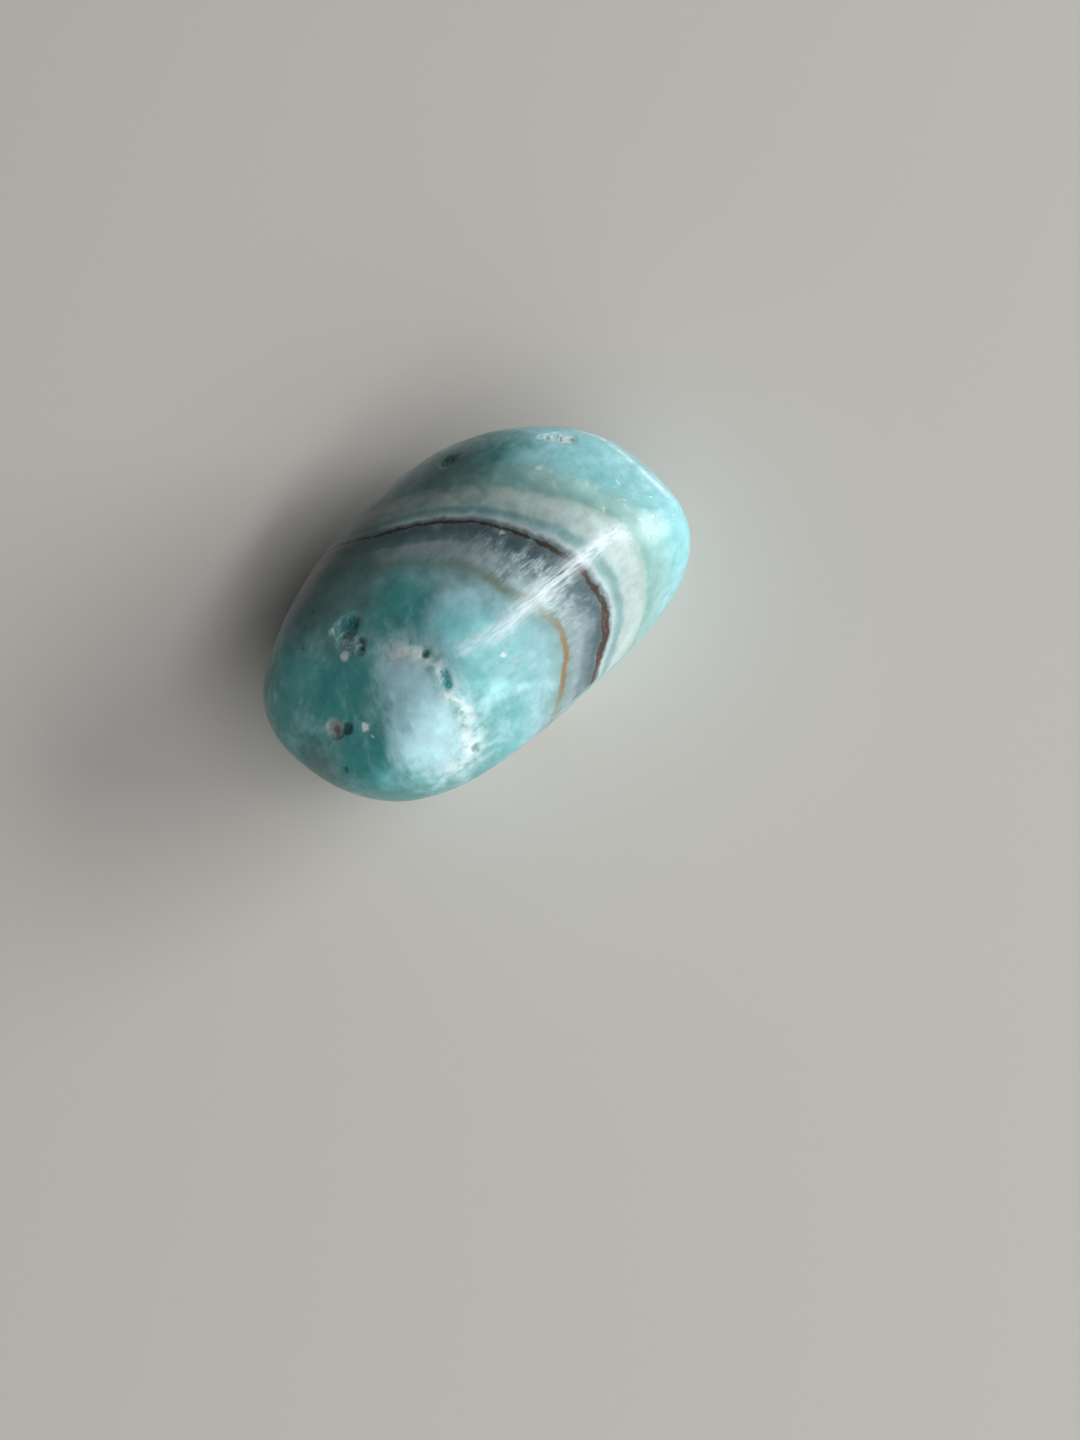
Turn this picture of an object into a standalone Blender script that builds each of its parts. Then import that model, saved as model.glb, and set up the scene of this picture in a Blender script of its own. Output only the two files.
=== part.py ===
"""A tumbled blue aragonite stone, polished all over, in metres, +Z up.

One natural piece. It lies on a small flat spot, centred on the origin, with its length along X.
The blunt end is at +X and the low tail at -X. A soft ridge runs along the top, nearer to -Y, with
a steep near face below it and a broad, gently falling face on the other side.
"""
import bpy
import bmesh
from math import cos, radians, sin
from mathutils import Vector

MM = 0.001

# The stone's heart, from which every worn face is measured, above the surface that it lies on
HEART_HEIGHT = 7.4 * MM

# How crisp the edges between worn faces are: about 4 is a pebble, 30 is a cut gem
EDGE_SHARPNESS = 10

# The sphere that the stone is worn from has 20 triangles, split in four at each further level
SPHERE_LEVELS = 5

# Points nearer than this to the surface that the stone lies on are laid on it
SNAP_HEIGHT = 0.05 * MM
CUT_TOLERANCE = 0.001 * MM

# Worn faces: each one's outward direction, as azimuth and elevation in degrees, and its distance
# from the heart in millimetres
TOP_FACES = {
    "crown": (115, 80, 8.9),
    "broad slope": (100, 58, 9.8),
    "near face": (-86, 36, 10.9),
    "end top": (5, 58, 14.0),
    "tail top": (-172, 66, 10.8),
}
SIDE_FACES = {
    "near foot": (-82, -6, 12.2),
    "near corner": (-58, -5, 17.5),
    "end corner": (-28, 4, 20.9),
    "blunt end": (18, 16, 18.8),
    "end foot": (8, -16, 18.4),
    "far corner": (58, 20, 13.7),
    "far right": (93, 24, 11.7),
    "far foot": (100, -10, 13.6),
    "far left": (122, 22, 13.2),
    "tail far": (155, 20, 19.6),
    "tail tip": (-178, 14, 22.0),
    "tail foot": (-175, -14, 20.0),
    "tail round": (-145, 2, 18.0),
    "tail near": (-112, 0, 15.0),
}
UNDER_FACES = {
    "near keel": (-95, -46, 10.4),
    "far keel": (90, -48, 10.4),
    "end keel": (0, -46, 14.0),
    "end belly": (0, -70, 9.6),
    "tail keel": (-175, -44, 14.8),
    "tail belly": (180, -70, 9.8),
    "resting side": (0, -90, 7.6),
}

STONE_COLOUR = (0.22, 0.53, 0.52, 1.0)
STONE_ROUGHNESS = 0.22


def clear_scene():
    """Remove whatever the scene already holds."""
    for item in list(bpy.data.objects):
        bpy.data.objects.remove(item, do_unlink=True)


def direction(azimuth, elevation):
    """Unit vector for an azimuth from +X and an elevation, both in degrees."""
    turn = radians(azimuth)
    lift = radians(elevation)
    return Vector((cos(lift) * cos(turn), cos(lift) * sin(turn), sin(lift)))


def worn_faces():
    """Every worn face as its unit normal and its distance from the heart, in metres."""
    faces = []
    for group in (TOP_FACES, SIDE_FACES, UNDER_FACES):
        for azimuth, elevation, distance in group.values():
            faces.append((direction(azimuth, elevation), distance * MM))
    return faces


def reach(way, faces):
    """Distance from the heart to the stone's skin along a unit direction.

    Each face alone would give a plane. Together they give the stone, with its edges rounded off.
    """
    total = 0.0
    for normal, distance in faces:
        facing = normal.dot(way)
        if facing > 0:
            total += (facing / distance) ** EDGE_SHARPNESS
    return total ** (-1 / EDGE_SHARPNESS)


def wear_stone(stone_mesh):
    """Push a sphere's points out to the worn faces, with the heart at its height."""
    faces = worn_faces()
    bmesh.ops.create_icosphere(stone_mesh, subdivisions=SPHERE_LEVELS, radius=1.0)
    for point in stone_mesh.verts:
        way = point.co.normalized()
        point.co = way * reach(way, faces) + Vector((0, 0, HEART_HEIGHT))


def flatten_resting_spot(stone_mesh):
    """Cut the small flat that the stone lies on, at z = 0."""
    for point in stone_mesh.verts:
        if abs(point.co.z) < SNAP_HEIGHT:
            point.co.z = 0.0
    everything = stone_mesh.verts[:] + stone_mesh.edges[:] + stone_mesh.faces[:]
    bmesh.ops.bisect_plane(stone_mesh, geom=everything, dist=CUT_TOLERANCE, plane_co=(0, 0, 0),
                           plane_no=(0, 0, 1), clear_inner=True)
    rim = [edge for edge in stone_mesh.edges if edge.is_boundary]
    bmesh.ops.contextual_create(stone_mesh, geom=rim)
    bmesh.ops.triangulate(stone_mesh, faces=stone_mesh.faces[:])
    bmesh.ops.recalc_face_normals(stone_mesh, faces=stone_mesh.faces[:])


def centre_on_origin(stone_mesh):
    """Slide the stone along X and Y until its box is centred over the origin."""
    for axis in (0, 1):
        places = [point.co[axis] for point in stone_mesh.verts]
        middle = (min(places) + max(places)) / 2
        for point in stone_mesh.verts:
            point.co[axis] -= middle


def stone_material():
    """Polished blue-green stone in one plain colour."""
    material = bpy.data.materials.new("blue_aragonite")
    material.use_nodes = True
    shader = material.node_tree.nodes["Principled BSDF"]
    shader.inputs["Base Color"].default_value = STONE_COLOUR
    shader.inputs["Roughness"].default_value = STONE_ROUGHNESS
    shader.inputs["Metallic"].default_value = 0.0
    return material


def make_stone():
    """The whole stone as one closed solid."""
    stone_mesh = bmesh.new()
    wear_stone(stone_mesh)
    flatten_resting_spot(stone_mesh)
    centre_on_origin(stone_mesh)
    mesh = bpy.data.meshes.new("aragonite_stone")
    stone_mesh.to_mesh(mesh)
    stone_mesh.free()
    mesh.shade_smooth()
    mesh.materials.append(stone_material())
    stone = bpy.data.objects.new("aragonite_stone", mesh)
    bpy.context.scene.collection.objects.link(stone)
    return stone


def main():
    clear_scene()
    make_stone()


main()
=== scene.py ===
"""Looks of a tumbled blue aragonite stone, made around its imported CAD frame.

The stone is one piece: a quad sphere shrunk onto the CAD stone and smoothed, with the pits and chips that
a tumbled stone keeps pressed into it. Its colours are grown through it as the real layers are, along one
growth axis, so that the cream, brown, grey and tan layers go round the stone and meet on every side.

Metres and +Z up, in the CAD model's frame. Places and sizes on the stone are named in millimetres.
"""

import math
import bpy
from mathutils import Matrix, Vector


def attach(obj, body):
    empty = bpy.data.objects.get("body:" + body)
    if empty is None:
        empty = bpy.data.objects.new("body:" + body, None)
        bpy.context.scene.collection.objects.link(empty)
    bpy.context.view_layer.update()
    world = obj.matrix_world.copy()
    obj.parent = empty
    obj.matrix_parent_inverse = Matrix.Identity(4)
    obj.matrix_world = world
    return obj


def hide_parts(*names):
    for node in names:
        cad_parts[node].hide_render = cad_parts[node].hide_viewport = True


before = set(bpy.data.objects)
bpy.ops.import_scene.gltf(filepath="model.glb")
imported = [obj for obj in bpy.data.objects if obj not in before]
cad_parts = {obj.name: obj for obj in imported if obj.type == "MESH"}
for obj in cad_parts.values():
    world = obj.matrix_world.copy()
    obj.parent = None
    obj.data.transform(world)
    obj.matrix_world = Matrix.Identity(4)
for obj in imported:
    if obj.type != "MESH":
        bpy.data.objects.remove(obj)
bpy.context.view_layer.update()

MM = 0.001

# Camera at the photograph's angle: place (m), directions, lens and film width (mm), nearest sight (m).
CAMERA_PLACE = (0.0022266, -0.0311354, 0.0896788)
CAMERA_RIGHT = (0.79633, -0.58158, -0.16623)
CAMERA_UP = (0.60399, 0.77931, 0.16691)
CAMERA_LENS = 27.0
CAMERA_FILM = 36.0
CAMERA_NEAREST = 0.002

# Floor: width (m), colour and roughness.
FLOOR_WIDTH = 1.6
FLOOR_COLOUR = (0.70, 0.685, 0.655)
FLOOR_ROUGHNESS = 0.9

# Lights: azimuth and elevation seen from the stone (degrees), distance, width and height (m), power (W).
# The backdrop's colour is what the camera sees beyond the floor.
LIGHTS = {
    "window_light": (-24.0, 14.0, 1.30, 0.94, 0.52, 19.4),
    "near_light": (-84.0, 38.0, 1.30, 1.82, 0.94, 9.1),
    "ridge_light": (-70.0, 42.0, 1.30, 1.30, 0.13, 4.2),
    "fill_light": (150.0, 24.0, 1.56, 1.56, 0.78, 0.47),
}
LIGHT_COLOUR = (1.0, 0.985, 0.96)
SKY_COLOUR = (0.80, 0.90, 1.0)
SKY_STRENGTH = 0.015
BACKDROP_COLOUR = (0.50, 0.50, 0.485)

# Copy of the CAD stone that the body is shrunk onto: merging distance (mm) and subdivision levels.
MERGE_DISTANCE = 0.001
ROUNDING_LEVELS = 2

# Stone body (mm): a small cube, made round and then stretched that many times each way. What is lower than
# the floor snap is laid flat on the floor.
BODY_CENTRE = (0.0, 0.0, 8.6)
BODY_START = 2.0
BODY_STRETCH = (20.5, 14.2, 10.6)
BODY_CUTS = 25
SMOOTH_FACTOR = 0.5
SMOOTH_ROUNDS = 3
FINE_LEVELS = 2
FLOOR_SNAP = 0.12
SHADE_ANGLE = 50.0

# Uneven lumps all over the stone (mm): size, height.
LUMPS = {
    "broad_lumps": (5.0, 0.16),
    "small_lumps": (1.4, 0.035),
}
LUMP_DETAIL = 2

# Hollows in the skin (mm): way out of the stone, and presses as place, radius, depth.
HOLLOWS = {
    "comma pit": ((-0.21, 0.14, 0.97), (
        ((-7.6, 1.5, 14.9), 0.95, 0.16),
        ((-7.1, 1.5, 15.0), 0.65, 0.15),
        ((-8.2, 1.7, 14.8), 0.75, 0.12),
    )),
    "crescent pit": ((-0.25, 0.08, 0.97), (
        ((-8.3, 0.3, 14.9), 1.20, 0.12),
        ((-7.45, -0.2, 15.2), 0.55, 0.19),
        ((-7.85, -0.6, 15.1), 0.50, 0.17),
    )),
    "round pit": ((-0.43, -0.07, 0.90), (
        ((-13.1, -3.7, 13.1), 0.85, 0.26),
        ((-12.3, -4.3, 13.4), 0.55, 0.20),
    )),
    "end chip": ((0.60, 0.33, 0.73), (
        ((13.9, 3.2, 14.1), 1.05, 0.14),
        ((13.2, 3.7, 14.4), 0.70, 0.10),
        ((12.6, 4.1, 14.6), 0.45, 0.08),
    )),
    "edge notch": ((0.0, 0.58, 0.81), (
        ((5.8, 7.7, 14.0), 0.75, 0.14),
        ((6.4, 7.3, 14.2), 0.50, 0.09),
    )),
    "vein hole": ((-0.20, 0.01, 0.98), (
        ((-4.0, -4.4, 16.2), 0.34, 0.14),
    )),
    "vein notch": ((-0.15, -0.37, 0.92), (
        ((-4.1, -7.1, 15.8), 0.45, 0.08),
        ((-3.95, -6.75, 15.9), 0.45, 0.07),
        ((-3.8, -6.4, 16.0), 0.42, 0.07),
    )),
    "sugar ring": ((0.0, -0.88, 0.48), (
        ((-5.6, -11.0, 11.2), 0.50, 0.10),
    )),
    "tail dot": ((-0.57, -0.23, 0.79), (
        ((-14.5, -6.3, 12.0), 0.38, 0.12),
    )),
}

# How each hollow is worked: margin around its presses (mm), cuts, smoothing, the share of a press that is
# broken floor, the floor's grit (mm), and the material slot of broken crystal.
HOLLOW_MARGIN = 0.45
HOLLOW_CUTS = 3
HOLLOW_SMOOTH_ROUNDS = 2
HOLLOW_FLOOR = 0.85
HOLLOW_GRIT = 0.014
BROKEN_SLOT = 1

# Growth of the stone: layers lie across this axis, pushed along it by swells (mm).
GROWTH_AXIS = (0.65, 0.47, -0.60)
SWELLS = {
    "ridge brown": ((9.0, -6.0, 16.0), 3.0, 1.0),
    "ridge tan": ((3.5, -5.0, 17.0), 2.5, 1.1),
    "near tan": ((5.0, -9.0, 13.0), 3.0, -0.3),
    "cream top": ((9.0, 0.0, 16.5), 3.0, 0.2),
    "cream end": ((13.0, -5.0, 15.5), 3.0, -0.6),
    "left brown": ((-2.5, 7.0, 14.0), 3.0, 0.7),
    "low brown": ((6.0, -11.0, 9.5), 2.5, 0.8),
    "low tan": ((0.5, -12.0, 8.5), 3.0, 0.9),
    "tan start": ((2.5, -1.5, 17.0), 2.5, -0.3),
}

# Colour at each growth distance (mm), from the tail to the blunt end.
LAYERS_FROM = -22.0
LAYERS_TO = 10.0
LAYERS = (
    (-22.0, (0.10, 0.34, 0.34)),
    (-15.5, (0.10, 0.37, 0.37)),
    (-13.2, (0.17, 0.46, 0.49)),
    (-11.6, (0.25, 0.53, 0.58)),
    (-10.2, (0.30, 0.52, 0.57)),
    (-9.40, (0.24, 0.42, 0.43)),
    (-9.00, (0.18, 0.30, 0.28)),
    (-8.60, (0.22, 0.33, 0.33)),
    (-7.95, (0.28, 0.36, 0.39)),
    (-7.50, (0.145, 0.225, 0.26)),
    (-6.70, (0.088, 0.140, 0.162)),
    (-6.00, (0.17, 0.21, 0.22)),
    (-5.75, (0.48, 0.60, 0.63)),
    (-5.45, (0.24, 0.42, 0.43)),
    (-5.20, (0.24, 0.40, 0.41)),
    (-4.95, (0.45, 0.58, 0.59)),
    (-4.10, (0.52, 0.64, 0.63)),
    (-3.70, (0.43, 0.57, 0.56)),
    (-3.35, (0.24, 0.44, 0.41)),
    (-2.90, (0.27, 0.48, 0.47)),
    (-2.30, (0.32, 0.54, 0.54)),
    (-1.20, (0.26, 0.54, 0.57)),
    (1.00, (0.24, 0.55, 0.60)),
    (10.0, (0.24, 0.56, 0.62)),
)

# How unevenly the layers lie: size and height of their waves and of their fuzz (mm), and for both the
# noise's detail, roughness and distortion.
LAYER_WAVES = (1.3, 0.22)
LAYER_FUZZ = (0.35, 0.10)
LAYER_NOISE = (3.0, 0.55, 0.0)

# Noise: size of its lumps (mm), detail, roughness, distortion.
MILK_GRAIN = (3.4, 4.0, 0.50, 0.5)
CURL_GRAIN = (2.0, 3.0, 0.50, 0.6)
BEAD_GRAIN = (0.5, 2.0, 0.55, 0.0)
PUFF_GRAIN = (0.85, 3.0, 0.50, 0.0)
SUGAR_GRAIN = (0.40, 3.0, 0.60, 0.0)
RIM_GRAIN = (0.80, 3.0, 0.55, 0.0)
SPECK_GRAIN = (0.60, 3.0, 0.60, 0.0)
MOSS_GRAIN = (1.3, 3.0, 0.55, 0.0)
SKIN_GRAIN = (0.90, 3.0, 0.55, 0.0)
MOTTLE_GRAIN = (1.1, 4.0, 0.55, 0.0)
BROKEN_GRAIN = (0.22, 3.0, 0.70, 0.0)
CRYSTAL_GRAIN = (0.25, 3.0, 0.55, 0.0)
FIBRE_NOISE = {"Detail": 3.0, "Roughness": 0.6, "Distortion": 0.2}

# Fibres: width (mm), straightness, the axis that they lie along.
NEEDLE_AXIS = (0.98, 0.10, -0.17)
CLOUD_AXIS = (-0.24, -0.79, -0.56)
CREST_AXIS = (1.0, 0.03, -0.03)
FINE_NEEDLES = (0.17, 0.86, NEEDLE_AXIS)
TUFT_NEEDLES = (0.90, 0.45, NEEDLE_AXIS)
POLISH_NEEDLES = (0.12, 0.95, NEEDLE_AXIS)
MILK_STREAKS = (0.55, 0.72, NEEDLE_AXIS)
CLOUD_STREAKS = (1.1, 0.66, CLOUD_AXIS)
CREST_NEEDLES = (0.16, 0.94, CREST_AXIS)

# Below, a STEP is a mask's value where it starts to count and where it counts in full. A COVER is a step
# and how much of the colour is then covered. A MIX is the shares of two masks. A CROOK is the size of a
# stroke's crooks and their reach (mm).

# The two rusty lines: growth distance, half width, softness (mm), colour. The brown one is wider (mm) and
# its beads are rustier near one place, and the tan one is only seen near its own.
BROWN_LINE = (-6.22, 0.10, 0.06, (0.055, 0.038, 0.030))
BROWN_NEAR = ((7.5, -10.0, 11.5), 2.6, 0.16)
BROWN_BEADING = 0.28
BROWN_STRENGTH = 0.90
BEAD_STEP = (0.0, 0.12)
BEAD_STRENGTH = 5.0
BEAD_COLOUR = (0.17, 0.085, 0.065)
TAN_LINE = (-9.02, 0.20, 0.14, (0.30, 0.205, 0.115))
TAN_NEAR = ((3.1, -10.0, 12.0), 2.9)
TAN_BEADING = 0.15
TAN_STRENGTH = 1.15

# The tan line's olive haze on the top: place, radius (mm), strength, and half width and softness (mm).
OLIVE_TOP = ((3.0, -3.5, 16.8), 2.6)
OLIVE_STRENGTH = 0.75
OLIVE_LINE = (0.30, 0.25)
OLIVE_COLOUR = (0.22, 0.28, 0.21)

# White needles that tuft in the grey layer: its start, end and softness (mm), where they are thickest, and
# how they thin out with each millimetre past its middle.
GREY_LAYER = (-9.2, -6.8, 0.45)
GREY_MIDDLE = -8.0
TUFTS = ((5.8, -4.6, 16.8), 3.2)
TUFTS_ELSEWHERE = 0.10
TUFT_MIX = (0.45, 0.75)
TUFT_THINNING = -0.07
TUFT_STEP = (0.46, 0.72)
NEEDLE_COLOUR = (0.58, 0.72, 0.78)

# Thin pale arcs of the grey layer's far side: growth distance, half width (mm), strength.
ARCS = ((-7.72, 0.13, 0.75), (-8.35, 0.07, 0.40))
ARC_SOFTNESS = 0.14
ARC_SIDE = ((-0.5, 4.0, 15.5), 4.5)
ARC_COLOUR = (0.34, 0.42, 0.42)

# Darker needles in the cream layer: its start, end and softness (mm).
CREAM_LAYER = (-4.9, -3.5, 0.2)
CREAM_COVER = (0.60, 0.30, 0.40)
CREAM_SHADE = (0.36, 0.50, 0.49)

# Milk in the clear aqua: growth distances (mm) where the aqua starts and is full, before and after the
# layers, and the covers of the milk and of the clearest stone between it.
AQUA_BEFORE = (-9.6, -11.2)
AQUA_AFTER = (-2.6, -1.0)
MILK_MIX = (0.35, 0.65)
MILK_COVER = (0.46, 0.68, 0.38)
CLEAR_COVER = (0.48, 0.32, 0.38)
CLEAR_COLOUR = (0.10, 0.42, 0.46)
CLOUD_COLOUR = (0.54, 0.84, 0.93)

# Soft patches on the stone, some of them painted shade and painted glow (mm): centre, radius, strength.
PALE_CLOUDS = {
    "upper cloud": ((-5.8, -4.2, 15.6), 1.8, 1.25),
    "middle cloud": ((-7.0, -7.6, 14.9), 2.3, 1.3),
    "lower cloud": ((-7.0, -10.0, 12.6), 2.0, 1.2),
    "foot cloud": ((-8.8, -10.6, 10.6), 1.8, 0.8),
    "tail cloud": ((-9.6, -8.6, 13.2), 1.3, 0.5),
    # The two ridge clouds are partly pale haze and partly a painted glow beside the ridge highlight.
    "ridge veil and glow": ((0.8, -3.5, 16.9), 1.6, 1.0),
    "ridge haze and glow": ((3.6, -5.4, 16.9), 1.6, 0.5),
    "near cloud": ((-0.5, -10.6, 11.5), 2.2, 0.35),
}
DEEP_PATCHES = {
    "left deep": ((-11.0, -1.9, 14.1), 2.1, 1.2),
    "tail deep": ((-12.5, -7.3, 12.8), 1.6, 1.3),
    "middle deep": ((-3.6, 0.2, 15.9), 2.1, 1.3),
    "ridge pocket": ((-2.6, -7.3, 15.4), 1.4, 0.30),
    # The far deep patch is partly deeper teal and partly painted shade on the far slope.
    "far deep and shade": ((9.0, 5.6, 14.4), 3.6, 0.60),
}
BRIGHT_PATCHES = {
    "ridge aqua": ((-0.6, -4.4, 16.7), 1.5, 1.5),
    "tail aqua": ((-12.2, -8.8, 11.8), 0.8, 0.6),
    "near aqua": ((-1.8, -8.6, 14.2), 1.8, 0.45),
}
# Painted shade: darker, duller skin on the far flank and the tail, which face away from the lights.
PAINTED_SHADE_PATCHES = {
    "far flank": ((-6.0, 7.5, 11.5), 5.0, 1.0),
    "upper flank": ((-7.0, 4.0, 14.5), 3.2, 0.5),
    "cream flank": ((5.5, 6.5, 14.3), 2.6, 0.75),
    "far haze": ((9.0, 6.2, 14.0), 3.0, 0.28),
    "tail side": ((-15.9, -3.6, 10.8), 2.0, 0.55),
    "tail rim": ((-16.8, -6.2, 9.6), 2.2, 0.6),
}

# How each kind of patch looks: how ragged its edge is, cover, colour. The clouds are streaked as well.
DEEP_LOOK = (1.2, (0.15, 1.0, 0.90), (0.06, 0.33, 0.33))
BRIGHT_LOOK = (0.8, (0.10, 1.0, 0.85), (0.31, 0.80, 0.86))
CLOUD_LOOK = (1.0, (0.0, 1.9, 0.90), CLOUD_COLOUR)
PAINTED_SHADE_LOOK = (0.8, (0.10, 1.0, 0.80), (0.10, 0.185, 0.17))
CLOUD_STREAKING = 2.8

# Sugary white crystals along a crooked vein (mm): points with the vein's half width there.
VEIN = (
    ((-6.0, -2.4, 15.6), 0.45),
    ((-5.2, -3.1, 15.9), 0.50),
    ((-4.3, -4.2, 16.1), 0.42),
    ((-3.9, -5.6, 16.2), 0.30),
    ((-4.4, -7.7, 15.3), 0.22),
    ((-4.1, -8.3, 14.8), 0.30),
    ((-4.4, -9.1, 14.0), 0.50),
    ((-5.1, -10.0, 12.8), 0.60),
    ((-5.8, -11.0, 11.2), 0.62),
    ((-7.4, -11.3, 10.6), 0.42),
    ((-8.3, -11.1, 10.7), 0.25),
)
VEIN_CROOK = (0.8, 1.1)
VEIN_MIX = (0.55, 0.45)
VEIN_STRENGTH = 0.30
SUGAR_STEP = (0.62, 0.92)
SUGAR_STRENGTH = 0.95
SUGAR_COLOUR = (0.73, 0.85, 0.87)

# Haze around the vein, that many times as wide, with rusty dirt in it.
HAZE_WIDTH = 2.0
HAZE_COVER = (0.38, 0.62, 0.72)
HAZE_COLOUR = (0.57, 0.70, 0.72)
RUST_COVER = (0.48, 0.36, 0.35)
RUST_COLOUR = (0.30, 0.31, 0.30)

# A thin veil on the near side (mm): points, half width, strength.
NEAR_VEIL = ((-2.7, -9.2, 13.8), (-0.5, -9.7, 12.8), (1.4, -10.2, 11.9))
NEAR_VEIL_HALF_WIDTH = 0.22
NEAR_VEIL_STRENGTH = 0.28

# Worn crest along the ridge, where needles are bruised white and the white is partly a painted highlight
# along the ridge (mm).
CREST = (
    (-1.6, -5.9, 16.5),
    (1.3, -6.5, 16.4),
    (7.1, -6.0, 16.6),
    (11.3, -5.7, 15.9),
    (12.4, -5.7, 15.5),
)
CREST_HALF_WIDTH = 0.46
CREST_STEP = (0.26, 0.58)
# The crest's white is partly wear and partly a painted highlight.
CREST_WEAR_AND_HIGHLIGHT_STRENGTH = 0.72
CREST_WEAR_AND_HIGHLIGHT_COLOUR = (0.78, 0.90, 0.96)

# Bruised rim inside the blunt end's outline, whitened partly as a painted rim highlight (mm).
RIM_WEAR_AND_HIGHLIGHT = ((15.6, 3.6, 11.9), (16.4, 2.5, 11.8), (17.1, -1.7, 12.4), (17.4, -4.4, 12.0))
RIM_HALF_WIDTH = 0.24
RIM_STEP = (0.36, 0.56)

# Small light specks (mm): centre, radius.
MOSS_SPECKS = ((11.8, 0.0, 16.0), 2.4)
MOSS_MIX = (0.45, 0.55)
MOSS_COVER = (0.50, 0.72, 0.80)
MOSS_COLOUR = (0.56, 0.66, 0.58)
WHITE_SPECKS = ((15.4, -4.2, 14.0), 2.2)
WHITE_SPECK_STEP = (0.62, 0.72)

# Pale skin below the near foot's edge (mm): start, end, half width.
FOOT_SKIN = ((2.0, -12.2, 6.2), (10.5, -11.3, 4.6), 1.25)
FOOT_RAGGED = 0.6
FOOT_COVER = (0.35, 0.75, 0.85)
FOOT_COLOUR = (0.27, 0.50, 0.51)

# Fine mottling all over: how much it varies, and the darkest that it makes the stone.
MOTTLE = (0.6, 0.70)

# Polished stone: roughness, and what needles, the crest and crystals add to it.
POLISH_ROUGHNESS = 0.20
NEEDLE_ROUGHNESS = 0.24
CREST_ROUGHNESS = -0.14
CRYSTAL_ROUGHNESS = 0.25
CRYSTAL_RELIEF = 1.6
POLISH_SPECULAR = 0.40

# Broken crystal: roughness, cells for each mm, its darkest and lightest shade, and their noise values.
BROKEN_ROUGHNESS = 0.36
BROKEN_CELLS = 5.0
BROKEN_DARK = (0.78, 0.80, 0.82)
BROKEN_LIGHT = (1.15, 1.14, 1.14)
BROKEN_STEP = (0.30, 0.70)

# Bump: strength, height (m). Light under the surface: weight, scale (m), and the reach of each colour.
POLISH_BUMP = (0.5, 0.00003)
BROKEN_BUMP = (0.8, 0.00006)
POLISH_GLOW = (0.55, 0.0022)
BROKEN_GLOW = (0.25, 0.0008)
GLOW_REACH = (0.7, 1.1, 1.2)

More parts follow.
